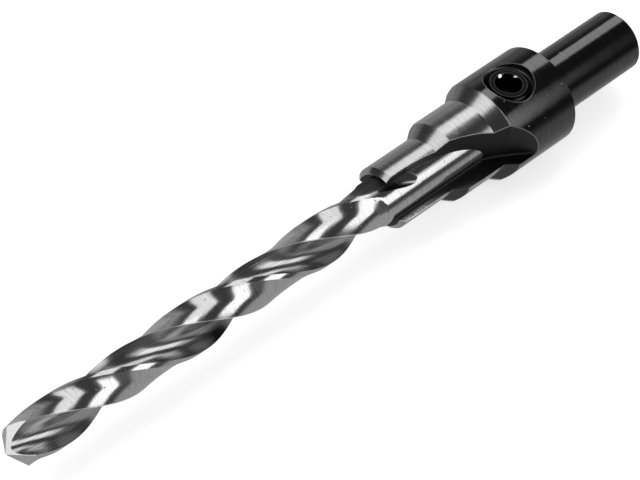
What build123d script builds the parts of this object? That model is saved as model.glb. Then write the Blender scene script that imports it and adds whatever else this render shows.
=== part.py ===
"""A stepped drill bit for furniture connector screws.

A twist drill is clamped in a turned holder by one grub screw. The drill makes the pilot hole,
the holder's two steps open it for the plain neck and the head of the screw.

The bit lies along X with its point towards -X. The origin is the centre of the shank's flat end,
and the grub screw stands along +Z. Lengths are in millimetres and angles in degrees.
"""

import math
import os

from build123d import *

# Holder, from the shank end forwards
shank_diameter = 6.9
shank_length = 12.85
shank_end_chamfer = 0.42
body_diameter = 11.0
body_length = 9.2
body_edge_break = 0.28
second_step_diameter = 9.0
second_step_length = 5.05
first_step_diameter = 7.0
first_step_length = 6.65
front_chamfer = 0.5
cone_half_angle = 33.5
cone_flat_behind_edge = 13.0
cone_flat_half_angle = 27.0

# Chip flutes, each milled by a plain disc cutter whose side leaves the cutting face
cutter_diameter = 57.0
cutter_corner_radius = 0.2
cutter_set_back = 1.6
cutting_face_below_axis = 0.35
back_wall_past_axis = 0.24
flute_turn_from_screw = 4.0
flute_count = 2

# Twist drill
drill_diameter = 5.0
drill_reach = 49.4
drill_grip_length = 25.6
drill_tail_chamfer = 0.3
helix_lead = 34.6
lip_start_angle = 322.4
flute_angle_at_point = 96.0
flute_angle_at_runout = 74.0
web_at_point = 0.9
web_at_runout = 1.55
flute_hook = 0.12
heel_fullness = 0.15
flute_length = 46.6
flute_runout_radius = 13.0
margin_width = 0.54
relief_length = 47.2
relief_runout_length = 1.1
point_angle = 108.0
lip_relief_angle = 18.0
heel_facet_turn = 50.0
heel_facet_angle = 49.0

# The land's clearance: a share of the way from the margin back to the heel, and the depth there
land_clearance = (
    (-0.02, -0.047),
    (0.06, 0.132),
    (0.14, 0.263),
    (0.24, 0.367),
    (0.36, 0.426),
    (0.50, 0.437),
    (0.64, 0.412),
    (0.78, 0.361),
    (0.90, 0.288),
    (1.00, 0.188),
)

# Grub screw
screw_diameter = 5.0
screw_recess = 0.5
screw_top_chamfer = 0.5
screw_point_chamfer = 0.6
socket_across_flats = 2.5
socket_depth = 1.3
socket_mouth_diameter = 3.0
screw_set_back = 3.6
screw_hole_mouth_diameter = 5.4
mouth_half_angle = 45.0

# Clearances
drill_bore_clearance = 0.02
drill_tail_clearance = 0.4
thread_clearance = 0.03
screw_point_clearance = 0.02

# Radii
shank_radius = shank_diameter / 2
body_radius = body_diameter / 2
second_step_radius = second_step_diameter / 2
first_step_radius = first_step_diameter / 2
cutter_radius = cutter_diameter / 2
drill_radius = drill_diameter / 2
bore_radius = drill_radius + drill_bore_clearance
screw_radius = screw_diameter / 2
screw_hole_radius = screw_radius + thread_clearance

# Places along X, from the shank end forwards to the drill's point
cone_slope = math.tan(math.radians(cone_half_angle))
second_cone_length = (body_radius - second_step_radius) / cone_slope
first_cone_length = (second_step_radius - first_step_radius) / cone_slope
body_back = -shank_length
body_front = body_back - body_length
second_step_back = body_front - second_cone_length
second_step_front = second_step_back - second_step_length
first_step_back = second_step_front - first_cone_length
holder_front = first_step_back - first_step_length
drill_tip = holder_front - drill_reach
drill_length = drill_reach + drill_grip_length
screw_place = body_front + screw_set_back
cutter_place = holder_front + cutter_set_back

# The drill is modelled along Z from its point and then placed by this plane
drill_plane = Plane(origin=(drill_tip, 0, 0), x_dir=(0, 1, 0), z_dir=(1, 0, 0))
land_count = 2
land_step = 360 / land_count

# How far the cuts run past the metal, and how finely their ends are drawn
cut_allowance = 1.0
past_surface = 1 + cut_allowance / drill_radius
past_exit = 1.02
past_relief = 1.15
heel_overcut = 3.0
flute_waist = 0.55
flute_end_count = 12
relief_end_count = 4


def polar(radius, angle):
    """A point of the drill's cross-section."""
    return (radius * math.cos(math.radians(angle)), radius * math.sin(math.radians(angle)))


def lip_angle(height):
    """Where the leading edge of the first land stands at this height above the point."""
    return lip_start_angle + 360 * height / helix_lead


def at_height(at_point, at_runout, height):
    """A size that changes evenly along the flutes."""
    return at_point + (at_runout - at_point) * height / flute_length


def section_plane(height, angle, lift=0.0):
    """A plane across the drill, turned to the angle and moved outwards along it by the lift."""
    return Plane(origin=(*polar(lift, angle), height), x_dir=(*polar(1, angle), 0), z_dir=(0, 0, 1))


def flute_section(height, lift=0.0):
    """A flute across the drill: a hooked lip side, a round root over the web, a full heel side."""
    half = at_height(flute_angle_at_point, flute_angle_at_runout, height) / 2
    lip = Vector(*polar(drill_radius, half))
    heel = Vector(*polar(drill_radius, -half))
    root = Vector(at_height(web_at_point, web_at_runout, height) / 2, 0)
    lip_side = lip * flute_waist + Vector(-flute_hook, flute_hook)
    heel_side = heel * flute_waist + Vector(heel_fullness, 0)
    with BuildSketch(section_plane(height, lip_angle(height) - half, lift)) as section:
        with BuildLine():
            Spline(lip, lip_side, root, heel_side, heel)
            Line(heel, heel * past_surface)
            RadiusArc(heel * past_surface, lip * past_surface, -drill_radius * past_surface)
            Line(lip * past_surface, lip)
        make_face()
    return section.sketch


def relief_section(height, share=1.0):
    """The land's clearance across the drill, from just outside the margin back past the heel."""
    margin_angle = math.degrees(margin_width / drill_radius)
    heel_angle = land_step - at_height(flute_angle_at_point, flute_angle_at_runout, height) + heel_overcut
    ground = [
        polar(drill_radius - share * depth, margin_angle + way * (heel_angle - margin_angle))
        for way, depth in land_clearance
    ]
    front_angle = math.degrees(math.atan2(ground[0][1], ground[0][0]))
    outside = drill_radius * past_surface
    rim = [polar(outside, angle) for angle in (heel_angle, (heel_angle + front_angle) / 2, front_angle)]
    with BuildSketch(section_plane(height, lip_angle(height))) as section:
        with BuildLine():
            Spline(*ground)
            Line(ground[-1], rim[0])
            ThreePointArc(*rim)
            Line(rim[-1], ground[0])
        make_face()
    return section.sketch


def steps(first, last, count):
    """Evenly spaced values, both ends among them."""
    return [first + (last - first) * index / count for index in range(count + 1)]


def helical_cuts(section, length):
    """The section carried up the helix from under the point, in bites of about a third of a turn."""
    bites = math.ceil(3 * (length + cut_allowance) / helix_lead)
    heights = steps(-cut_allowance, length, bites)
    cuts = []
    for low, high in zip(heights, heights[1:]):
        with BuildPart() as cut:
            with BuildLine() as path:
                Line((0, 0, low), (0, 0, high))
            with BuildLine() as guide:
                Helix(pitch=helix_lead, height=high - low, radius=drill_radius, center=(0, 0, low))
            sweep(
                [section(low), section(high)],
                path=path.wires()[0],
                binormal=guide.edges()[0],
                multisection=True,
            )
        cuts.append(cut.part)
    return cuts


# A flute leaves the drill along the radius of its cutter, a land's clearance in a short rounded end
flute_exit = (drill_radius - web_at_runout / 2) * past_exit
flute_runout = math.sqrt(flute_runout_radius**2 - (flute_runout_radius - flute_exit) ** 2)
with BuildPart() as flute_end:
    loft(
        [
            flute_section(flute_length + along, flute_runout_radius - math.sqrt(flute_runout_radius**2 - along**2))
            for along in steps(0, flute_runout, flute_end_count)
        ]
    )
with BuildPart() as relief_end:
    loft(
        [
            relief_section(relief_length + relief_runout_length * along, 1 - past_relief * along**2)
            for along in steps(0, 1, relief_end_count)
        ]
    )

# The point has two flats behind each lip: one falls away gently, the next is ground back to the heel
lip_slope = 1 / math.tan(math.radians(point_angle / 2))
lip_fall = math.tan(math.radians(lip_relief_angle))
turn = math.radians(heel_facet_turn)
heel_slope = math.cos(turn) * lip_slope + math.sin(turn) * lip_fall
heel_fall = math.tan(math.radians(heel_facet_angle))
lip_across_web = math.degrees(math.asin(web_at_point / drill_diameter))
lip_direction = lip_angle(drill_radius * lip_slope) + lip_across_web

with BuildPart() as drill_blank:
    Cylinder(drill_radius, drill_length, align=(Align.CENTER, Align.CENTER, Align.MIN))
    chamfer(drill_blank.edges().sort_by(Axis.Z)[-1], drill_tail_chamfer)
    for cut in helical_cuts(flute_section, flute_length) + [flute_end.part]:
        with PolarLocations(0, land_count):
            add(cut, mode=Mode.SUBTRACT)
    for cut in helical_cuts(relief_section, relief_length) + [relief_end.part]:
        with PolarLocations(0, land_count):
            add(cut, mode=Mode.SUBTRACT)
    for facet_turn, slope, fall in ((0, lip_slope, lip_fall), (heel_facet_turn, heel_slope, heel_fall)):
        for lip in range(land_count):
            facet_direction = lip_direction + facet_turn + lip * land_step
            outward = Vector(*polar(1, facet_direction), 0)
            behind = Vector(*polar(1, facet_direction + 90), 0)
            normal = Vector(0, 0, 1) - outward * slope - behind * fall
            split(bisect_by=Plane(origin=(0, 0, 0), z_dir=normal), keep=Keep.TOP)

with BuildPart(drill_plane) as twist_drill:
    add(drill_blank.part)
twist_drill.part.label = "twist_drill"


# Each cone is ground flat behind its cutting edges, down to the step in front of it
def cone_flat(ring_place, ring_radius, front_radius, edge_turn):
    """What the wheel takes off the cone that ends in this ring, behind the cutting edge at this turn."""
    middle = math.radians(edge_turn + cone_flat_behind_edge)
    slope = math.radians(cone_half_angle)
    outward = Vector(0, -math.sin(middle), math.cos(middle))
    touch = Vector(ring_place, 0, 0) + outward * ring_radius * math.cos(math.radians(cone_flat_half_angle))
    across = Vector(0, math.cos(middle), math.sin(middle))
    away = outward * math.cos(slope) - Vector(math.sin(slope), 0, 0)
    with BuildPart() as taken:
        with Locations(Plane(origin=touch, x_dir=across, z_dir=away)):
            Box(body_diameter, body_diameter, body_diameter, align=(Align.CENTER, Align.CENTER, Align.MIN))
        with Locations(Plane(origin=(ring_place, 0, 0), z_dir=(1, 0, 0))):
            Cylinder(front_radius, 4 * body_diameter, mode=Mode.SUBTRACT)
    return taken.part


# The holder is turned, bored and tapped, and the chip flutes are milled last
with BuildPart() as chip_cutter:
    Cylinder(cutter_radius, body_diameter, align=(Align.CENTER, Align.CENTER, Align.MIN))
    fillet(chip_cutter.edges().sort_by(Axis.Z)[0], cutter_corner_radius)

with BuildPart() as stepped_countersink:
    with BuildSketch(Plane.XZ):
        with BuildLine():
            Polyline(
                (0, 0),
                (0, shank_radius - shank_end_chamfer),
                (-shank_end_chamfer, shank_radius),
                (body_back, shank_radius),
                (body_back, body_radius - body_edge_break),
                (body_back - body_edge_break, body_radius),
                (body_front, body_radius),
                (second_step_back, second_step_radius),
                (second_step_front, second_step_radius),
                (first_step_back, first_step_radius),
                (holder_front + front_chamfer, first_step_radius),
                (holder_front, first_step_radius - front_chamfer),
                (holder_front, 0),
                close=True,
            )
        make_face()
    revolve(axis=Axis.X)
    # The blind bore ends in the cone that the holder's own drill left
    bore_end = drill_tip + drill_length + drill_tail_clearance
    bore_cone = bore_radius / math.tan(math.radians(point_angle / 2))
    with BuildSketch(Plane.XZ):
        with BuildLine():
            Polyline(
                (holder_front, 0),
                (holder_front, bore_radius),
                (bore_end, bore_radius),
                (bore_end + bore_cone, 0),
                close=True,
            )
        make_face()
    revolve(axis=Axis.X, mode=Mode.SUBTRACT)
    # The tapped hole, with its mouth opened where the tap went in
    mouth_depth = (screw_hole_mouth_diameter / 2 - screw_hole_radius) / math.tan(math.radians(mouth_half_angle))
    mouth_floor = math.sqrt(body_radius**2 - (screw_hole_mouth_diameter / 2) ** 2) - mouth_depth
    with BuildSketch(Plane.XZ):
        with BuildLine():
            Polyline(
                (screw_place, 0),
                (screw_place + screw_hole_radius, 0),
                (screw_place + screw_hole_radius, mouth_floor),
                (screw_place + screw_hole_mouth_diameter / 2, mouth_floor + mouth_depth),
                (screw_place + screw_hole_mouth_diameter / 2, body_radius),
                (screw_place, body_radius),
                close=True,
            )
        make_face()
    revolve(axis=Axis((screw_place, 0, 0), (0, 0, 1)), mode=Mode.SUBTRACT)
    for flute in range(flute_count):
        flute_turn = flute_turn_from_screw + 360 * flute / flute_count
        flute_plane = Plane.XY.rotated((flute_turn, 0, 0)).offset(-cutting_face_below_axis)
        with Locations(flute_plane * Location((cutter_place, -(cutter_radius + back_wall_past_axis), 0))):
            add(chip_cutter.part, mode=Mode.SUBTRACT)
        for place, radius, next_radius in (
            (body_front, body_radius, second_step_radius),
            (second_step_front, second_step_radius, first_step_radius),
        ):
            add(cone_flat(place, radius, next_radius, flute_turn + 90), mode=Mode.SUBTRACT)
stepped_countersink.part.label = "stepped_countersink"


# The screw bears on the drill's shank with its flat point
screw_foot = drill_radius + screw_point_clearance
screw_top = body_radius - screw_recess
with BuildPart() as grub_screw:
    with BuildSketch(Plane.XZ):
        with BuildLine():
            Polyline(
                (screw_place, screw_foot),
                (screw_place + screw_radius - screw_point_chamfer, screw_foot),
                (screw_place + screw_radius, screw_foot + screw_point_chamfer),
                (screw_place + screw_radius, screw_top - screw_top_chamfer),
                (screw_place + screw_radius - screw_top_chamfer, screw_top),
                (screw_place, screw_top),
                close=True,
            )
        make_face()
    revolve(axis=Axis((screw_place, 0, 0), (0, 0, 1)))
    with BuildSketch(Plane(origin=(screw_place, 0, screw_top))):
        RegularPolygon(socket_across_flats / 2, 6, major_radius=False)
    extrude(amount=-socket_depth, mode=Mode.SUBTRACT)
    with BuildSketch(Plane(origin=(screw_place, 0, screw_top))):
        Circle(socket_mouth_diameter / 2)
    mouth_fall = (socket_mouth_diameter - socket_across_flats) / 2 / math.tan(math.radians(mouth_half_angle))
    extrude(amount=-mouth_fall, taper=mouth_half_angle, mode=Mode.SUBTRACT)
grub_screw.part.label = "grub_screw"


os.makedirs("parts", exist_ok=True)
for piece in (twist_drill, stepped_countersink, grub_screw):
    export_step(piece.part, f"parts/{piece.part.label}.step")
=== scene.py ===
# %% [markdown]
# # A stepped drill bit for furniture connector screws
# The bit is a bright ground twist drill, clamped by one grub screw in a dark turned holder. The holder's two
# steps open the pilot hole for the plain neck and the head of the screw. The shapes come from the imported
# CAD model; this script remakes the drill as a smooth surface, gives the pieces their finishes, and sets up
# the studio.

# %% Load the frame
import math

import bpy
import numpy as np
from mathutils import Matrix, Vector


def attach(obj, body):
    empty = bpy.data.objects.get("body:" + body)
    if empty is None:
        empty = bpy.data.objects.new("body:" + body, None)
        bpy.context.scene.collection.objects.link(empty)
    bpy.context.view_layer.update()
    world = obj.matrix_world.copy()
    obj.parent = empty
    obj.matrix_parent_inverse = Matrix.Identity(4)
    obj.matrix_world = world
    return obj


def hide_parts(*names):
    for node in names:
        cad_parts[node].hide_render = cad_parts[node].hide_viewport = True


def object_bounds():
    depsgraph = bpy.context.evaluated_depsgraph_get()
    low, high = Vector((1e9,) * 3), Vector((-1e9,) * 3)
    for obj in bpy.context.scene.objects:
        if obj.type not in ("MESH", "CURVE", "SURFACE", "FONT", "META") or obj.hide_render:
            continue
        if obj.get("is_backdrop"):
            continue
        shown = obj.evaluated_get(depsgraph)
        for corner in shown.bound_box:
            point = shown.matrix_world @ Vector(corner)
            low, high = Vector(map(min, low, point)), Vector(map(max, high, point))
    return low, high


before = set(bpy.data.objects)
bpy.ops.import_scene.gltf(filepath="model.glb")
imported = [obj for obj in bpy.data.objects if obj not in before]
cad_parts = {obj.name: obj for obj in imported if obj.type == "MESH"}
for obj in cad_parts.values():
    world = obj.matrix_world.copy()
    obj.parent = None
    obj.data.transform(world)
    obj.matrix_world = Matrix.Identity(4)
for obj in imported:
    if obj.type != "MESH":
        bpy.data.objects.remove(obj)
cad_low, cad_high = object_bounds()
bpy.ops.object.select_all(action="DESELECT")
print("nodes:", sorted(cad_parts))
print("CAD box in mm:", [round(1000 * (h - l), 2) for l, h in zip(cad_low, cad_high)])

# %% [markdown]
# ## The sizes this scene needs
# Lengths are in metres, as in the frame. The bit lies along X, the shank's end is at zero and the drill's
# point is at the negative end. These are the sizes of the turned holder, from the shank forwards. Its
# finish follows them, because a place on a turned part is known by how far along it lies.

# %% The holder's outline
MM = 0.001
shank_radius = 3.45 * MM
body_radius = 5.5 * MM
second_step_radius = 4.5 * MM
first_step_radius = 3.5 * MM
body_back = -12.85 * MM
body_front = -22.05 * MM
second_step_back = -23.561 * MM
second_step_front = -28.611 * MM
first_step_back = -30.122 * MM
holder_front = -36.772 * MM
front_chamfer = 0.5 * MM
drill_tip = cad_low.x
print("the drill reaches", round((holder_front - drill_tip) / MM, 2), "mm out of the holder")

# %% [markdown]
# ## The camera
# The photograph was taken with a long lens from above the drill's point, looking along the bit towards
# the shank. The place and the directions were fitted to the outlines of the shank, the body and the drill,
# so a camera that is set by hand would only come near. A matrix holds all of it at once.

# %% Set up the camera
camera_place = Vector((-0.19264, -0.11915, 0.20805))
to_the_right = Vector((0.70455, -0.70306, 0.09639)).normalized()
forwards = Vector((0.52376, 0.42354, -0.73912)).normalized()
upwards = to_the_right.cross(forwards).normalized()


def placed(place, right, up, back):
    """The matrix of an object at this place, whose own X, Y and Z point in these three directions."""
    return Matrix.Translation(place) @ Matrix((right, up, back)).transposed().to_4x4()


camera_data = bpy.data.cameras.new("catalogue_camera")
camera_data.sensor_fit = "HORIZONTAL"
camera_data.sensor_width = 36.0
camera_data.lens = 159.75
camera_data.clip_start = 0.01
camera_data.clip_end = 20.0
camera = bpy.data.objects.new("catalogue_camera", camera_data)
bpy.context.collection.objects.link(camera)
camera.matrix_world = placed(camera_place, to_the_right, upwards, -forwards)
bpy.context.scene.camera = camera
print("camera", round(camera.location.length, 3), "m from the shank's end")

# %% [markdown]
# ## A bench for mixing
# The table's paint, the room and every finish are trees of nodes. In Blender's editor each node is added
# and joined by hand. Here a small class does the same, so that a line of the script is a step of the
# mixing, and what repeats has a name.

# %% Make the mixing bench
WHITE = (1, 1, 1, 1)
noise_low, noise_high = 0.3, 0.7


class Mix:
    """The nodes of a material or of the room, and the few steps of mixing that they need."""

    def __init__(self, owner):
        owner.use_nodes = True
        self.nodes = owner.node_tree.nodes
        self.links = owner.node_tree.links

    def add(self, kind, inputs):
        """A new node. Each input gets a plain value, or is joined to an output or to another node."""
        node = self.nodes.new("ShaderNode" + kind)
        for socket, value in inputs.items():
            if isinstance(value, bpy.types.Node):
                value = value.outputs[0]
            if isinstance(value, bpy.types.NodeSocket):
                self.links.new(value, node.inputs[socket])
            else:
                node.inputs[socket].default_value = value
        return node

    def calculate(self, operation, *values):
        """One piece of arithmetic on one, two or three values."""
        step = self.add("Math", dict(enumerate(values)))
        step.operation = operation
        return step.outputs[0]

    def together(self, operation, first, *others):
        """The same arithmetic on one value after another, such as the product or the highest of all."""
        for value in others:
            first = self.calculate(operation, first, value)
        return first

    def greys(self, value, *stops, blend="LINEAR"):
        """The value turned into greys, with a (value, grey) pair for each stop."""
        ramp = self.add("ValToRGB", {"Fac": value})
        ramp.color_ramp.interpolation = blend
        elements = ramp.color_ramp.elements
        while len(elements) < len(stops):
            elements.new(0.5)
        for element, (position, grey) in zip(elements, stops):
            element.position, element.color = position, (grey, grey, grey, 1)
        return ramp.outputs["Color"]

    def spread(self, noise, low, high):
        """Greys from low to high over the values that a noise usually has."""
        return self.greys(noise, (noise_low, low), (noise_high, high))

    def line(self, value, middle, inner, outer, grey=1.0):
        """A thin line round a value's middle, full up to inner on both sides and gone beyond outer."""
        off = self.calculate("ABSOLUTE", self.calculate("SUBTRACT", value, middle))
        return self.greys(off, (inner, grey), (outer, 0.0))


print("mixing bench ready")

# %% [markdown]
# ## The floor
# A white table fills the picture. Its paint is a pale matt white that keeps the bit's soft shadow. What
# the camera sees of it gets a plain glow on top, so that it reaches the photograph's white without more
# light on the bit. Mirrored in the drill the table is a mid grey that ends a few centimetres away, so
# for reflections it is a grey that fades with the distance from the bit.

# %% Lay the table
floor_height = -body_radius
bpy.ops.mesh.primitive_plane_add(size=6.0, location=(0, 0, floor_height))
table = bpy.context.object
table.name = "white_table"
table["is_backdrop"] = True
print("table at", round(floor_height / MM, 2), "mm")

# %% [markdown]
# A ray knows what it was sent for. The Light Path node tells the camera's rays from the mirrored ones, so
# one paint can look different to each. A round gradient, moved under the bit and stretched along it, says
# how near a place on the table lies.

# %% Paint the table
matt_white = (0.8, 0.8, 0.8, 1)
camera_glow = 0.6
mirrored_far, mirrored_near = 0.12, 0.42
gradient_shift, gradient_scale = (0.2, -0.4, 0), (5.0, 6.7, 0)
table_paint = bpy.data.materials.new("white_table_paint")
paint = Mix(table_paint)
paint.nodes.clear()
path = paint.add("LightPath", {})
place = paint.add("TexCoord", {})
matt = paint.add("BsdfDiffuse", {"Color": matt_white})
glow_for_camera = paint.calculate("MULTIPLY", path.outputs["Is Camera Ray"], camera_glow)
glow = paint.add("Emission", {"Strength": glow_for_camera})
shown = paint.add("AddShader", {0: matt, 1: glow})
from_bit = paint.add(
    "Mapping", {"Vector": place.outputs["Object"], "Location": gradient_shift, "Scale": gradient_scale}
)
near = paint.add("TexGradient", {"Vector": from_bit})
near.gradient_type = "SPHERICAL"
fade = paint.greys(near.outputs["Fac"], (0.0, mirrored_far), (0.5, mirrored_near), blend="EASE")
mirrored = paint.add("Emission", {"Color": fade})
either = paint.add("MixShader", {"Fac": path.outputs["Is Glossy Ray"], 1: shown, 2: mirrored})
paint.add("OutputMaterial", {"Surface": either})
table.data.materials.append(table_paint)
print("table painted with", len(paint.nodes), "nodes")

# %% [markdown]
# ## The room
# Polished steel shows its room. In the photograph the lands are banded white and near black: the white is
# the lamps, the grey is the table and the black is the unlit room. So the world is plain and pale for
# soft light, white where the camera sees it, and dark for reflections. Two places stay a little lighter:
# low down behind the shank, and on the camera's side.

# %% Paint the room
soft_light = 0.4
world = bpy.data.worlds.new("studio_room")
bpy.context.scene.world = world
room = Mix(world)
room.nodes.clear()
path = room.add("LightPath", {})
place = room.add("TexCoord", {})
way = room.add("SeparateXYZ", {"Vector": place.outputs["Generated"]})
low = room.greys(way.outputs["Z"], (0.0, 0.33), (0.18, 0.3), (0.34, 0.1), (0.5, 0.0))
behind_shank = room.calculate("MULTIPLY_ADD", way.outputs["X"], 0.5, way.outputs["Y"])
far_wall = room.calculate("MULTIPLY", low, room.greys(behind_shank, (0.85, 0.0), (1.0, 1.0)))
camera_side = room.calculate("MULTIPLY", way.outputs["Y"], -1.0)
near_wall = room.greys(camera_side, (0.8, 0.045), (0.98, 0.12))
soft = room.add("Background", {"Color": WHITE, "Strength": soft_light})
mirrored = room.add("Background", {"Color": room.calculate("ADD", far_wall, near_wall)})
plain = room.add("Background", {"Color": WHITE})
lit = room.add("MixShader", {"Fac": path.outputs["Is Glossy Ray"], 1: soft, 2: mirrored})
seen = room.calculate("MAXIMUM", path.outputs["Is Camera Ray"], path.outputs["Is Transmission Ray"])
whole = room.add("MixShader", {"Fac": seen, 1: lit, 2: plain})
room.add("OutputWorld", {"Surface": whole})
print("room painted with", len(room.nodes), "nodes")

# %% [markdown]
# ## The lamps
# The bright bands on the drill say where the lamps stood. One hangs behind the bit and makes the first
# bright line along its top. One stands on the camera's side and makes the broad white band of the lands.
# A third is above the drill's point and lights the cones and the point, and a fourth, low above the
# shank, carries the first one's line on along the holder. A lamp's place matters less than how it looks
# from the drill, so each is given by where its edges are seen from there.

# %% Hang the softboxes
lamp_distance = 0.5
drill_middle = Vector((-0.06, 0, 0))


def softbox(name, lean, turn, radiance):
    """A rectangular lamp that faces the middle of the drill. Lean gives its two ends, as sines of how far
    they lean along the bit, and turn its two sides, in degrees from straight up towards the camera."""
    near_end, far_end = math.asin(lean[0]), math.asin(lean[1])
    low_side, high_side = math.radians(turn[0]), math.radians(turn[1])
    middle_lean, middle_turn = (near_end + far_end) / 2, (low_side + high_side) / 2
    lamp = bpy.data.lights.new(name, "AREA")
    lamp.shape = "RECTANGLE"
    lamp.size = 2 * lamp_distance * math.tan((far_end - near_end) / 2)
    lamp.size_y = 2 * lamp_distance * math.cos(middle_lean) * math.tan((high_side - low_side) / 2)
    lamp.energy = radiance * math.pi * lamp.size * lamp.size_y
    hung = bpy.data.objects.new(name, lamp)
    bpy.context.collection.objects.link(hung)
    away = Vector(
        (
            math.sin(middle_lean),
            -math.cos(middle_lean) * math.sin(middle_turn),
            math.cos(middle_lean) * math.cos(middle_turn),
        )
    )
    along_bit = (Vector((1, 0, 0)) - away * away.x).normalized()
    hung.matrix_world = placed(drill_middle + away * lamp_distance, along_bit, away.cross(along_bit), away)


softbox("back_softbox", lean=(0.02, 0.58), turn=(-41, -3), radiance=1.15)
softbox("shank_softbox", lean=(0.58, 0.78), turn=(-46, -14), radiance=1.7)
softbox("side_softbox", lean=(0.06, 0.64), turn=(35, 68), radiance=1.7)
softbox("point_softbox", lean=(-0.78, -0.18), turn=(-40, 0), radiance=1.4)
bpy.context.scene.view_settings.view_transform = "Standard"
print("four softboxes,", lamp_distance, "m from the drill")

# %% [markdown]
# ## The twist drill
# A twist drill is a round rod with two flutes ground along a helix. Behind each cutting edge a narrow
# margin keeps the full diameter, and the land behind it is ground lower, almost flat, and rises again at
# the heel. That flat hollow is what bends the white reflections into the S shapes of the photograph, so
# the surface has to be exactly smooth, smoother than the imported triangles.
#
# An extrude that turns a little at each step would make a plain helix, but here the web gets thicker and
# the flutes run out at the end. So a grid is laid down with one row for each station along the drill, and
# each row is then set on the cross-section of its own station. Heights are counted from the drill's tip.

# %% The drill's own sizes
drill_radius = 2.5 * MM
drill_length = 75.0 * MM
helix_lead = 34.6 * MM
lip_start_turn = 322.4
flute_turn_at_point, flute_turn_at_runout = 96.0, 74.0
web_at_point, web_at_runout = 0.9 * MM, 1.55 * MM
flute_length = 46.6 * MM
runout_length, runout_radius = 6.6 * MM, 13.0 * MM
margin_width = 0.54 * MM
margin_turn = math.degrees(margin_width / drill_radius)
print("the helix turns once in", round(helix_lead / MM, 1), "mm")
print("each margin takes up", round(margin_turn, 1), "degrees")

# %% [markdown]
# A grinder's drawing gives a few points of the flute's curve. A natural cubic spline draws the smooth line
# through them, as a bent batten would. A Bezier curve would need handles, which such a drawing doesn't
# give, so the spline's bend at each point is solved here.

# %% Draw a smooth line through points
def run_along(points):
    """How far each point lies along the line through all of them."""
    return np.concatenate([[0], np.cumsum(np.linalg.norm(np.diff(points, axis=0), axis=1))])


def smooth_line(points, shares):
    """Points on the natural cubic spline through these points, at these shares of its length."""
    points = np.asarray(points, float)
    knots = run_along(points)
    gaps = np.diff(knots)
    count = len(points)
    system, right = np.eye(count), np.zeros_like(points)
    for i in range(1, count - 1):
        system[i, i - 1 : i + 2] = gaps[i - 1], 2 * (gaps[i - 1] + gaps[i]), gaps[i]
        right[i] = 6 * ((points[i + 1] - points[i]) / gaps[i] - (points[i] - points[i - 1]) / gaps[i - 1])
    bend = np.linalg.solve(system, right)
    places = np.asarray(shares) * knots[-1]
    i = np.clip(np.searchsorted(knots, places, side="right") - 1, 0, count - 2)
    after, before, gap = (places - knots[i])[:, None], (knots[i + 1] - places)[:, None], gaps[i][:, None]
    return (
        bend[i] * before**3 / (6 * gap)
        + bend[i + 1] * after**3 / (6 * gap)
        + (points[i] / gap - bend[i] * gap / 6) * before
        + (points[i + 1] / gap - bend[i + 1] * gap / 6) * after
    )


def around(radius, turn):
    """A point of the cross-section, from its radius and its turn in degrees."""
    return np.stack([radius * np.cos(np.radians(turn)), radius * np.sin(np.radians(turn))], -1)


def turns_of(points):
    """The turn of each point of the cross-section, from 0 to 360 degrees."""
    return np.degrees(np.arctan2(points[:, 1], points[:, 0])) % 360


def turned(points, degrees):
    """The points of a cross-section, turned round the drill's axis."""
    cosine, sine = math.cos(math.radians(degrees)), math.sin(math.radians(degrees))
    return points @ np.array([[cosine, sine], [-sine, cosine]])


print("a straight line's middle:", smooth_line([(0, 0), (1, 0), (2, 0)], [0.5])[0])

# %% [markdown]
# The flute is drawn once, about its own middle, through the heel, the web and the next lip. Two more
# points, part of the way in, make it fuller at the heel and hollow at the lip. It is narrower at the
# run-out, where the web is thicker, and past its full length it lifts out along the arc of the wheel that
# ground it.

# %% Bend the flute
inner_points_share = 0.55
fuller_at_heel = (0.15 * MM, 0)
hollow_at_lip = (-0.12 * MM, 0.12 * MM)
points_on_spline = 400


def flute_at(height):
    """The flute's curve at this height, from the heel to the next lip, and the turn that it takes up."""
    share = height / flute_length
    flute_turn = flute_turn_at_point + (flute_turn_at_runout - flute_turn_at_point) * share
    web = web_at_point + (web_at_runout - web_at_point) * share
    past_full = max(0.0, min(height - flute_length, runout_radius))
    lift = runout_radius - math.sqrt(runout_radius**2 - past_full**2)
    heel, lip = around(drill_radius, -flute_turn / 2), around(drill_radius, flute_turn / 2)
    by_heel, by_lip = heel * inner_points_share + fuller_at_heel, lip * inner_points_share + hollow_at_lip
    curve = smooth_line([heel, by_heel, (web / 2, 0), by_lip, lip], np.linspace(0, 1, points_on_spline))
    # The lip of the next half is at 180 degrees, so the flute's middle is half a flute before it
    return turned(curve + (lift, 0), 180 - flute_turn / 2), flute_turn


print("the flute takes up", round(flute_at(0.0)[1]), "degrees of each half at the point")

# %% [markdown]
# The land needs no drawn points. It falls away behind the margin, is deepest a little before its middle
# and rises again to the heel, and two powers say how sharply. Its relief ends on its own, a little past
# the flutes' full length.

# %% Grind the land
land_depth, land_deepest_way = 0.437 * MM, 0.46
land_front_bend, land_heel_bend = 2.54, 2.3
heel_rise = 0.25 * MM
past_heel = 3.0
clearance_length, clearance_runout, clearance_lift = 47.2 * MM, 1.1 * MM, 1.15


def depth_of_land(way):
    """How deep the land is ground, from zero at the margin, down to its deepest, and up again at the heel."""
    before = np.clip(1 - way / land_deepest_way, 0, None)
    behind = np.clip((way - land_deepest_way) / (1 - land_deepest_way), 0, None)
    return land_depth * (1 - before**land_front_bend) - heel_rise * behind**land_heel_bend


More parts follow.
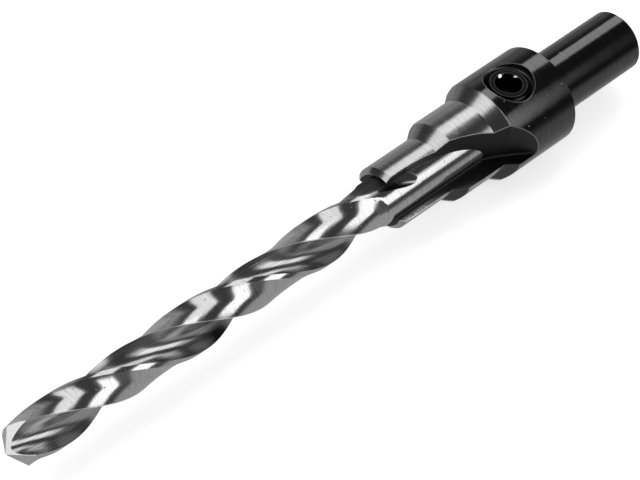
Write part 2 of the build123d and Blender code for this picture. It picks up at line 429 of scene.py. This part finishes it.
def outer_radius(turns, height, flute_turn):
    """How far out the margin, the land and the next margin reach, at these turns."""
    ending = max(0.0, (height - clearance_length) / clearance_runout)
    depth_share = max(0.0, 1 - clearance_lift * ending**2)
    way = (turns - margin_turn) / (180 - flute_turn + past_heel - margin_turn)
    ground = np.minimum(drill_radius - depth_share * depth_of_land(way), drill_radius)
    on_land = (turns >= margin_turn) & (turns <= 180 - flute_turn / 2)
    return np.where(on_land, ground, drill_radius)


print("the land is up to", round(land_depth / MM, 3), "mm deep")

# %% [markdown]
# The flute's curve reaches past the land at its ends, and at the run-out past the whole rod. So it is cut
# where it comes out of the land on one side and out of the next margin on the other. Where nothing of it
# is left, its points are kept all in one place on the rod, so that each row of the grid still has the same
# number.

# %% Cut the flute where it comes out
points_on_margin, points_on_land, points_in_flute = 6, 40, 48


def cut_where_it_comes_out(flute, inside):
    """The part of the flute that lies inside the drill, where inside is negative, as evenly spaced points."""
    kept = np.flatnonzero(inside < 0)
    if len(kept) < 2:
        nearest = flute[[np.argmin(inside)]]
        return np.repeat(around(drill_radius, turns_of(nearest)), points_in_flute, axis=0)

    def crossing(last_inside, first_outside):
        share = inside[last_inside] / (inside[last_inside] - inside[first_outside])
        return flute[last_inside] + (flute[first_outside] - flute[last_inside]) * share

    first, last = kept[0], kept[-1]
    at_heel = crossing(first, first - 1) if first else flute[0]
    at_lip = crossing(last, last + 1) if last < len(flute) - 1 else flute[-1]
    cut = np.vstack([at_heel, flute[kept], at_lip])
    run = run_along(cut)
    even = np.linspace(0, run[-1], points_in_flute)
    return np.stack([np.interp(even, run, cut[:, 0]), np.interp(even, run, cut[:, 1])], -1)


def half_section(height):
    """The margin, the land and the flute behind it, as points in order, with the lip at turn zero."""
    flute, flute_turn = flute_at(height)
    turns = turns_of(flute)
    cut = cut_where_it_comes_out(
        flute, np.linalg.norm(flute, axis=1) - outer_radius(turns, height, flute_turn)
    )
    heel_at, next_lip_at = turns_of(cut[[0, -1]])
    margin = around(drill_radius, np.linspace(next_lip_at - 180, margin_turn, points_on_margin))
    land_turns = np.linspace(margin_turn, heel_at, points_on_land)[1:]
    land = around(outer_radius(land_turns, height, flute_turn), land_turns)
    return np.vstack([margin, land, cut[1:-1]])


print("half a section has", len(half_section(0.0)), "points")

# %% [markdown]
# Now the grid. The stations stand closer together at the point, which is ground to an edge, and beyond the
# run-out two rings are enough for the plain shank and its small chamfer. The second half of each ring is
# the first one turned by half a turn.

# %% Roll the grid into the drill
tip_station_gap, tip_stations_end = 0.1 * MM, 3 * MM
station_gap = 0.22 * MM
shank_chamfer = 0.3 * MM
runout_end = flute_length + runout_length
stations = np.concatenate(
    [
        np.arange(-tip_station_gap, tip_stations_end, tip_station_gap),
        np.arange(tip_stations_end, runout_end, station_gap),
        [runout_end, drill_length - shank_chamfer, drill_length],
    ]
)
rings = []
for height in stations:
    half = half_section(float(height))
    if height == drill_length:
        half = half * (1 - shank_chamfer / drill_radius)
    half = turned(half, lip_start_turn + 360 * min(height, runout_end) / helix_lead)
    ring = np.vstack([half, -half, half[:1]])
    rings.append(np.column_stack([np.full(len(ring), drill_tip + height), ring]))
rings = np.array(rings)
points_on_half = len(half)
rows, columns = rings.shape[:2]
bpy.ops.mesh.primitive_grid_add(x_subdivisions=columns - 1, y_subdivisions=rows - 1)
drill = bpy.context.object
drill.name = drill.data.name = "ground_twist_drill"
drill.data.vertices.foreach_set("co", rings.reshape(-1))
drill.data.update()
print("drill rolled:", rows, "rings of", columns, "points")

# %% [markdown]
# The land and the flute get finishes of their own, and the marks on them follow the surface. So each facet
# carries its place in its UV map: across the section as the number of its part, 0 for the margin, 1 for the
# land and 2 for the flute, and how far it is through that part, and along the drill in millimetres.

# %% Tell each facet its place
LAND_SLOT, FLUTE_SLOT, POINT_SLOT = 0, 1, 2
FLUTE_PART = 2
drill.data.materials.clear()
for slot in (LAND_SLOT, FLUTE_SLOT, POINT_SLOT):
    drill.data.materials.append(None)
corner = np.empty(len(drill.data.loops), int)
drill.data.loops.foreach_get("vertex_index", corner)
corner = corner.reshape(-1, 4)
column, row = corner % columns, corner // columns
first_column = column.min(axis=1)
start = first_column % points_on_half
part_ends = np.array([0, points_on_margin - 1, points_on_margin + points_on_land - 2, points_on_half])
part = np.searchsorted(part_ends, start, side="right") - 1
part_start, part_end = part_ends[part][:, None], part_ends[part + 1][:, None]
way = start[:, None] + (column - first_column[:, None])
across = part[:, None] + (way - part_start) / (part_end - part_start)
places = np.stack([across, stations[row] / MM], -1)
drill.data.uv_layers[0].data.foreach_set("uv", places.astype(np.float32).reshape(-1))
in_flute = (part == FLUTE_PART) & (stations[row.min(axis=1)] < runout_end)
drill.data.polygons.foreach_set("material_index", np.where(in_flute, FLUTE_SLOT, LAND_SLOT))
print(int(in_flute.sum()), "facets in the flutes,", int((~in_flute).sum()), "on the lands and the shank")

# %% [markdown]
# The grid is still a sheet that is rolled up. Its seam and the points that lie on each other are merged,
# and the two ends are filled.

# %% Close the drill
merge_below = 0.0004 * MM
bpy.ops.object.mode_set(mode="EDIT")
bpy.ops.mesh.select_mode(type="EDGE")
bpy.ops.mesh.select_all(action="SELECT")
bpy.ops.mesh.remove_doubles(threshold=merge_below)
bpy.ops.mesh.select_all(action="DESELECT")
bpy.ops.mesh.select_non_manifold(extend=False)
bpy.ops.mesh.fill_holes(sides=0)
bpy.ops.mesh.select_all(action="SELECT")
bpy.ops.mesh.normals_make_consistent(inside=False)
bpy.ops.object.mode_set(mode="OBJECT")
print("drill closed:", len(drill.data.vertices), "points")

# %% [markdown]
# The point is ground last. Each lip has two flats behind it: one falls away gently, the next is ground
# back to the heel. Each flat is a plane through the very tip, so four bisects sharpen the drill.

# %% Grind the point
point_angle = math.radians(108.0)
lip_relief, heel_relief = math.radians(18.0), math.radians(49.0)
heel_flat_turn = math.radians(50.0)
smooth_below = math.radians(19)
bisect_exactness = 1e-7
lip_slope, lip_fall = 1 / math.tan(point_angle / 2), math.tan(lip_relief)
heel_slope = math.cos(heel_flat_turn) * lip_slope + math.sin(heel_flat_turn) * lip_fall
heel_fall = math.tan(heel_relief)
helix_at_rim = 360 * drill_radius * lip_slope / helix_lead
lip_across_web = math.degrees(math.asin(web_at_point / (2 * drill_radius)))
lip_turn_at_rim = math.radians(lip_start_turn + helix_at_rim + lip_across_web)
bpy.ops.object.mode_set(mode="EDIT")
for flat_turn, slope, fall in ((0.0, lip_slope, lip_fall), (heel_flat_turn, heel_slope, heel_fall)):
    for half_turn in (0, math.pi):
        outward = lip_turn_at_rim + flat_turn + half_turn
        normal_y = -math.cos(outward) * slope + math.sin(outward) * fall
        normal_z = -math.sin(outward) * slope - math.cos(outward) * fall
        bpy.ops.mesh.select_all(action="SELECT")
        bpy.ops.mesh.bisect(
            plane_co=(drill_tip, 0, 0),
            plane_no=Vector((1.0, normal_y, normal_z)).normalized(),
            use_fill=True,
            clear_inner=True,
            threshold=bisect_exactness,
        )
        drill.active_material_index = POINT_SLOT
        bpy.ops.object.material_slot_assign()
bpy.ops.object.mode_set(mode="OBJECT")
bpy.ops.object.shade_smooth_by_angle(angle=smooth_below)
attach(drill, "root")
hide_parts("twist_drill")
print("drill box in mm:", [round(v / MM, 3) for v in drill.dimensions])

# %% [markdown]
# ## Mixing the finishes
# Every finish is the same kind of thing: a metal whose grey, gloss and tiny relief follow marks that a tool
# left, though a few of the greys are painted highlights and one is a painted shade. The marks are noise that
# is stretched along the way the tool went. So a finish is a mix with a metal in it and a few more steps. The
# sizes and greys of the marks were found by trying, with a render beside the photograph.

# %% Helpers for the finishes
class Finish(Mix):
    """A metal, and the kinds of marks that are left on it."""

    def __init__(self, name):
        self.material = bpy.data.materials.new(name)
        super().__init__(self.material)
        self.metal = self.nodes["Principled BSDF"]
        self.metal.inputs["Metallic"].default_value = 1.0
        self.place = self.add("TexCoord", {})

    def noise(self, stretch, detail=3.0, where="Object"):
        """Soft noise between 0 and 1, about one grain for each unit of the stretched place."""
        stretched = self.add("Mapping", {"Vector": self.place.outputs[where], "Scale": stretch})
        return self.add("TexNoise", {"Vector": stretched, "Scale": 1.0, "Detail": detail}).outputs["Fac"]

    def specks(self, cell, size):
        """Small spots, 1 inside and 0 outside. Only cells where a broad second noise is high get one."""
        stretched = self.add("Mapping", {"Vector": self.place.outputs["Object"], "Scale": (1 / cell,) * 3})
        cells = self.add("TexVoronoi", {"Vector": stretched, "Scale": 1.0})
        spot = self.greys(cells.outputs["Distance"], (0.6 * size / cell, 1), (size / cell, 0))
        chosen = self.greys(self.noise((0.7 / cell,) * 3, 0.0), (0.5, 0), (0.55, 1))
        return self.calculate("MULTIPLY", spot, chosen)

    def length(self, vector):
        """How long a vector is."""
        measured = self.add("VectorMath", {0: vector})
        measured.operation = "LENGTH"
        return measured.outputs["Value"]

    def distance(self, centre, keep):
        """The millimetres from a point, or from a line or plane when keep is 0 for its own directions."""
        moved = self.add(
            "Mapping",
            {
                "Vector": self.place.outputs["Object"],
                "Location": [-c * k / MM for c, k in zip(centre, keep)],
                "Scale": [k / MM for k in keep],
            },
        )
        return self.length(moved)

    def relief(self, height, depth):
        """Tiny marks cut into the surface, given their height and their depth in metres."""
        bump = self.add("Bump", {"Height": height, "Distance": depth})
        self.links.new(bump.outputs["Normal"], self.metal.inputs["Normal"])

    def use(self, grey, roughness):
        """Gives the metal its grey and its roughness."""
        self.links.new(grey, self.metal.inputs["Base Color"])
        self.links.new(roughness, self.metal.inputs["Roughness"])

    def dress(self, node):
        """Puts the finish on one of the frame's pieces."""
        node.data.materials.clear()
        node.data.materials.append(self.material)


print("ready to mix the finishes")

# %% [markdown]
# ## The drill's finishes
# The lands are ground round the drill, so their marks run round it. Small pits dull them here and there, and
# a thin painted highlight follows each heel, the light line that its rounded edge catches. It is found from
# the part number that each facet carries, just short of 2, where the land ends.

# %% Finish the lands
heel_line = 1.99
land = Finish("ground_land_steel")
marks = land.noise((7000, 500, 500))
grain = land.noise((9000, 9000, 9000), 1.0)
pits = land.specks(cell=0.55 * MM, size=0.1 * MM)
part = land.add("SeparateXYZ", {"Vector": land.place.outputs["UV"]}).outputs["X"]
# A painted highlight: a thin, light and rough line along each heel's edge.
heel_highlight = land.line(part, heel_line, 0.0, 0.03)
grey = land.together(
    "MULTIPLY",
    land.spread(marks, 0.55, 0.7),
    land.greys(grain, (0.3, 0.9), (0.6, 1.0)),
    land.greys(pits, (0.0, 1.0), (1.0, 0.6)),
)
gloss = land.calculate(
    "MAXIMUM", land.greys(heel_highlight, (0.0, 0.17), (1.0, 0.5)), land.calculate("MULTIPLY", pits, 0.55)
)
land.use(grey=land.calculate("MAXIMUM", grey, heel_highlight), roughness=gloss)
land.relief(land.calculate("MULTIPLY_ADD", grain, 0.4, marks), 0.0013 * MM)
drill.data.materials[LAND_SLOT] = land.material
print("lands mixed with", len(land.nodes), "nodes")

# %% [markdown]
# The flutes are ground by a wheel that follows the helix, so they are rougher and streaked along the flute.
# One of them has the dark stain of the photograph. The flats of the point are ground last and are the
# lightest.

# %% Finish the flutes and the point
stain_place, stain_reach = (-60.0 * MM, -1.4 * MM, -2.1 * MM), 4.0
flute = Finish("ground_flute_steel")
streaks = flute.noise((26, 0.1, 1), where="UV")
from_stain = flute.calculate("DIVIDE", flute.distance(stain_place, (1, 1, 1)), stain_reach)
stain = flute.greys(from_stain, (0.25, 0.15), (0.75, 1.0))
flute.use(
    grey=flute.calculate("MULTIPLY", flute.spread(streaks, 0.36, 0.6), stain),
    roughness=flute.spread(streaks, 0.2, 0.26),
)
flute.relief(streaks, 0.006 * MM)
drill.data.materials[FLUTE_SLOT] = flute.material

point = Finish("ground_point_steel")
marks = point.noise((9000, 9000, 900))
point.use(grey=point.spread(marks, 0.62, 0.72), roughness=point.spread(marks, 0.2, 0.3))
drill.data.materials[POINT_SLOT] = point.material
print("drill finished:", [slot.material.name for slot in drill.material_slots])

# %% [markdown]
# ## Blackened and ground steel
# The holder is turned steel with an oiled black oxide. Its two steps and two cones were ground after the
# blackening, so they are bare bright steel with the grinding marks round them, and the flutes that were
# milled before it stay black inside. The oxide is rubbed off along the edges of the flutes, and where these
# edges cross the ground steel they carry a painted highlight.
#
# One finish covers all of it. It works out how far each place lies under the turned outline: nothing on
# the turned surfaces, more inside the flutes and the bore.

# %% Measure the depth under the turned outline
black = Finish("blackened_turned_steel")
along = black.add("SeparateXYZ", {"Vector": black.place.outputs["Object"]}).outputs["X"]


def change(start, end, low, high):
    """A value that changes evenly from low to high between two places along the bit."""
    places = {"From Min": start, "From Max": end, "To Min": low, "To Max": high}
    return black.add("MapRange", {"Value": along, **places}).outputs["Result"]


sharp = 0.001 * MM
chamfer_radius = first_step_radius - front_chamfer
outline = change(holder_front, holder_front + front_chamfer, chamfer_radius / MM, first_step_radius / MM)
for start, end, rise in (
    (first_step_back, second_step_front, second_step_radius - first_step_radius),
    (second_step_back, body_front, body_radius - second_step_radius),
    (body_back - sharp, body_back, shank_radius - body_radius),
):
    outline = black.calculate("ADD", outline, change(start, end, 0, rise / MM))
radius = black.distance((0, 0, 0), (0, 1, 1))
depth = black.calculate("SUBTRACT", outline, radius)
print("the outline starts at", round(chamfer_radius / MM, 2), "mm and reaches", body_radius / MM, "mm")

# %% [markdown]
# A flute's back wall is a piece of the round cutter that milled it, so its edge is where the turned surface
# lies as far from the cutter's axis as the cutter's own radius. Each side of the bit is looked at in its
# cutter's own place, and only above the flat cutting face.

# %% Find the edges of the holder's flutes
cutter_radius = 28.5 * MM
cutter_place = holder_front + 1.6 * MM
back_wall_past_axis = 0.24 * MM
holder_flute_turn = math.radians(4.0)
cutting_face_height = -0.35
rubbed_and_highlit_edge_lines = []
for side in (1, -1):
    in_cutters_place = black.add(
        "Mapping",
        {
            "Vector": black.place.outputs["Object"],
            "Location": (-cutter_place / MM, (cutter_radius + back_wall_past_axis) / MM, 0),
            "Rotation": (-holder_flute_turn, 0, 0),
            "Scale": (1 / MM, side / MM, side / MM),
        },
    )
    across_axis = black.add("VectorMath", {0: in_cutters_place, 1: (1, 1, 0)})
    across_axis.operation = "MULTIPLY"
    height = black.add("SeparateXYZ", {"Vector": in_cutters_place}).outputs["Z"]
    past_cutter = black.calculate("SUBTRACT", black.length(across_axis), cutter_radius / MM)
    above_face = black.calculate("GREATER_THAN", height, cutting_face_height)
    edge = black.greys(past_cutter, (0.02, 1), (0.06, 0))
    rubbed_and_highlit_edge_lines.append(black.calculate("MULTIPLY", edge, above_face))
rubbed_and_highlit_edges = black.together("ADD", *rubbed_and_highlit_edge_lines)
print(len(rubbed_and_highlit_edge_lines), "edge lines")

# %% [markdown]
# On the turned surfaces the tool's marks run round the bit. The grey is the highest of all that lies there:
# black oxide everywhere, bare steel in front of the body, lighter where something rubbed, at the flutes'
# edges and in small specks, and painted highlights: brighter still on the flutes' edges in front of the body,
# a thin ring round the screw's hole and a line along the body's front edge.

# %% Mix the turned surfaces
screw_place = body_front + 3.6 * MM
hole_rim, edge_highlight_place, edge_highlight_reach = 2.72, (body_front, -3.9 * MM, 3.9 * MM), 4.0
ground_off = change(body_front - 0.05 * MM, body_front + 0.02 * MM, 1, 0)
rings_cut = black.noise((14000, 500, 500), 4.0)
specks = black.specks(cell=1.3 * MM, size=0.1 * MM)
from_screw = black.distance((screw_place, 0, 0), (1, 1, 0))
# A painted highlight: a thin light ring on the rim of the screw's hole.
rim_highlight = black.line(from_screw, hole_rim, 0.03, 0.08)
# A painted highlight along the body's front edge, strongest round one place on it.
from_edge_highlight_place = black.calculate("DIVIDE", black.distance(edge_highlight_place, (1, 1, 1)), edge_highlight_reach)
front_edge_highlight = black.line(black.calculate("DIVIDE", along, MM), body_front / MM, 0.03, 0.07)
front_edge_highlight = black.calculate("MULTIPLY", front_edge_highlight, black.greys(from_edge_highlight_place, (0.5, 1), (0.7, 0.2)))
turned_grey = black.together(
    "MAXIMUM",
    black.spread(rings_cut, 0.08, 0.13),
    black.calculate("MULTIPLY", black.spread(rings_cut, 0.4, 0.54), ground_off),
    # The flutes' edges: rubbed lighter on the oxide, and a painted highlight, brighter than bare steel, on
    # the ground steel.
    black.calculate("MULTIPLY", rubbed_and_highlit_edges, black.calculate("MULTIPLY_ADD", ground_off, 0.65, 0.15)),
    black.calculate("MULTIPLY", specks, 0.6),
    black.calculate("MULTIPLY", rim_highlight, 0.3),
    black.calculate("MULTIPLY", front_edge_highlight, 0.7),
)
print("turned surfaces mixed")

# %% [markdown]
# Inside the flutes the steel is black, with a light line just under the edge. Towards the holder's front it
# is lighter and speckled, but next to the drill it stays black, a painted shade of the drill on the cutting
# face. In the screw's hole, painted highlights on the thread's crests show as rings.

# %% Mix the milled surfaces
hole_radius, thread_pitch, radius_reach = 2.7, 0.4, 10.0
front_face = change(holder_front + 2 * MM, first_step_back, 0.16, 0.0)
speckle = black.greys(black.noise((4500, 4500, 4500), 2.0), (0.4, 0.2), (0.6, 1.5))
# Painted shade: next to the drill the speckled face is kept black.
outside_painted_drill_shade = black.greys(black.calculate("DIVIDE", radius, radius_reach), (0.295, 0.0), (0.335, 1.0))
speckle = black.calculate("MULTIPLY", speckle, outside_painted_drill_shade)
milled = black.calculate("MULTIPLY_ADD", front_face, speckle, black.greys(depth, (0.05, 0.4), (0.08, 0.05)))
height = black.distance((0, 0, 0), (0, 0, 1))
# Painted highlights on the thread's crests, as light rings up the hole's wall.
crest_ring_highlights = black.greys(black.calculate("PINGPONG", height, thread_pitch / 2), (0.05, 0.02), (0.18, 0.16))
in_hole = black.calculate("LESS_THAN", from_screw, hole_radius)
milled = black.calculate("MULTIPLY_ADD", in_hole, black.calculate("SUBTRACT", crest_ring_highlights, 0.03), milled)
print("milled surfaces mixed")

# %% [markdown]
# The depth under the outline chooses between the two. Ground steel is a little duller than the oiled oxide,
# and the rubbed edges, the specks, the screw's hole and the painted highlights on the hole's rim and the
# body's front edge are duller still.

# %% Put the black together
outside = black.greys(depth, (0.01, 1), (0.025, 0))
inside = black.calculate("SUBTRACT", 1.0, outside)
grey = black.calculate(
    "ADD", black.calculate("MULTIPLY", outside, turned_grey), black.calculate("MULTIPLY", inside, milled)
)
gloss = black.together(
    "ADD",
    black.spread(rings_cut, 0.11, 0.16),
    black.calculate("MULTIPLY", ground_off, 0.08),
    black.calculate("MULTIPLY", rubbed_and_highlit_edges, 0.3),
)
rough = black.together("MAXIMUM", specks, rim_highlight, in_hole, front_edge_highlight)
black.use(grey=grey, roughness=black.calculate("MULTIPLY_ADD", rough, 0.35, gloss))
black.relief(rings_cut, 0.0009 * MM)
black.dress(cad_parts["stepped_countersink"])
print("holder finished with", len(black.nodes), "nodes")

# %% [markdown]
# ## The grub screw's black
# The screw keeps its own darker black. The mouth of its socket carries a painted highlight, a thin light ring
# with two painted glints at the far corners of the hexagon, and painted highlights on the thread's crests
# show as rings further out.

# %% Mix the screw's black
socket_mouth, screw_top = 1.48, 4.9 * MM
thread_start, ring_pitch = 1.9, 0.32
screw_black = Finish("black_screw_steel")
grain = screw_black.noise((6000, 6000, 6000))
from_screw = screw_black.distance((screw_place, 0, 0), (1, 1, 0))
# A painted highlight: a thin light ring round the socket's mouth.
socket_mouth_highlights = screw_black.line(from_screw, socket_mouth, 0.03, 0.07, grey=0.06)
# Two painted glints, bright spots near the far corners of the socket.
for forward, across in ((0.15, 1.3), (1.22, 0.2)):
    corner = (screw_place + forward * MM, across * MM, screw_top)
    spot = screw_black.greys(screw_black.distance(corner, (1, 1, 1)), (0.17, 0.8), (0.28, 0.0))
    socket_mouth_highlights = screw_black.calculate("MAXIMUM", socket_mouth_highlights, spot)
# Painted highlights on the thread's crests, as thin light rings.
screw_crest_highlights = screw_black.greys(
    screw_black.calculate("PINGPONG", from_screw, ring_pitch / 2), (0.0, 0.05), (0.06, 0.0)
)
on_thread = screw_black.calculate("GREATER_THAN", from_screw, thread_start)
screw_crest_highlights = screw_black.calculate("MULTIPLY", screw_crest_highlights, on_thread)
dark = screw_black.calculate("ADD", screw_black.spread(grain, 0.003, 0.006), screw_crest_highlights)
screw_black.use(
    grey=screw_black.calculate("MAXIMUM", socket_mouth_highlights, dark),
    roughness=screw_black.spread(grain, 0.22, 0.34),
)
screw_black.dress(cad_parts["grub_screw"])
print("screw finished with", len(screw_black.nodes), "nodes")

# %% [markdown]
# ## The dressed size
# The CAD model's box was printed at the start, and the dressed bit's box is printed here. The dressed bit
# has to stay inside the box of the CAD model.

# %% Print the dressed box
low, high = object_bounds()
print("dressed box in mm:", [round((h - l) / MM, 2) for l, h in zip(low, high)])
